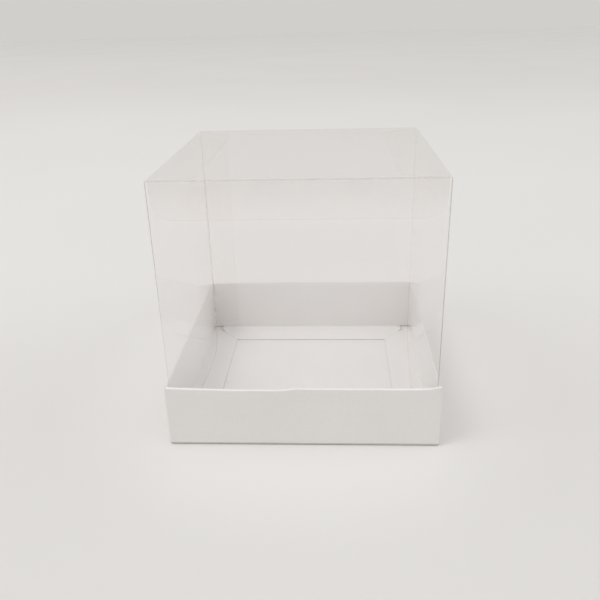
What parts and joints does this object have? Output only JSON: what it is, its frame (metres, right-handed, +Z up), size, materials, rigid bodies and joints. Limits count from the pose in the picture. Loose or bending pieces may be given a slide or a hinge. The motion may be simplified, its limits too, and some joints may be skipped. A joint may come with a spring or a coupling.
{
  "type": "clear box with card tray",
  "caption": "Cube-shaped presentation box: a folded clear plastic lid with a tuck top stands in a low folded white card tray.",
  "frame": {"origin": "middle of the underside of the tray's floor, on the surface that the box stands on", "axes": "+Z up; -Y towards the front wall, behind which the tuck flap closes; +X to the right as seen from the front"},
  "size_m": [0.102, 0.1038, 0.1019],
  "materials": {
    "white_card": "satin",
    "clear_film": "polished"
  },
  "bodies": {
    "tray": {"tray_floor": "white_card", "tray_front_wall": "white_card", "tray_front_rim": "white_card", "tray_front_lining": "white_card", "tray_front_flange": "white_card", "tray_right_wall": "white_card", "tray_right_front_tab": "white_card", "tray_right_back_tab": "white_card", "tray_right_rim": "white_card", "tray_right_lining": "white_card", "tray_right_flange": "white_card", "tray_back_wall": "white_card", "tray_back_rim": "white_card", "tray_back_lining": "white_card", "tray_back_flange": "white_card", "tray_left_wall": "white_card", "tray_left_back_tab": "white_card", "tray_left_front_tab": "white_card", "tray_left_rim": "white_card", "tray_left_lining": "white_card", "tray_left_flange": "white_card"},
    "lid": {"lid_front": "clear_film", "lid_right": "clear_film", "lid_back": "clear_film", "lid_left": "clear_film", "lid_glue_flap": "clear_film"},
    "top_panel": {"lid_top": "clear_film"},
    "tuck_flap": {"lid_tuck_flap": "clear_film"},
    "left_dust_flap": {"lid_left_dust_flap": "clear_film"},
    "right_dust_flap": {"lid_right_dust_flap": "clear_film"}
  },
  "joints": [
    {"name": "lid_lift", "type": "slide", "parent": "tray", "child": "lid", "axis": [0, 0, 1], "range_m": [0, 0.04]},
    {"name": "top_open", "type": "hinge", "parent": "lid", "child": "top_panel", "pos_m": [0, 0.05, 0.1019], "axis": [-1, 0, 0], "range_deg": [0, 180]},
    {"name": "tuck_bend", "type": "hinge", "parent": "top_panel", "child": "tuck_flap", "pos_m": [0, -0.04945, 0.1019], "axis": [1, 0, 0], "range_deg": [0, 50]},
    {"name": "left_dust_rise", "type": "hinge", "parent": "lid", "child": "left_dust_flap", "pos_m": [-0.05, 0, 0.1015], "axis": [0, -1, 0], "range_deg": [0, 82]},
    {"name": "right_dust_rise", "type": "hinge", "parent": "lid", "child": "right_dust_flap", "pos_m": [0.05, 0, 0.1015], "axis": [0, 1, 0], "range_deg": [0, 82]}
  ],
  "couplings": [
    {"joint": "left_dust_rise", "follows": "top_open", "ratio": 0.45},
    {"joint": "right_dust_rise", "follows": "top_open", "ratio": 0.45}
  ]
}
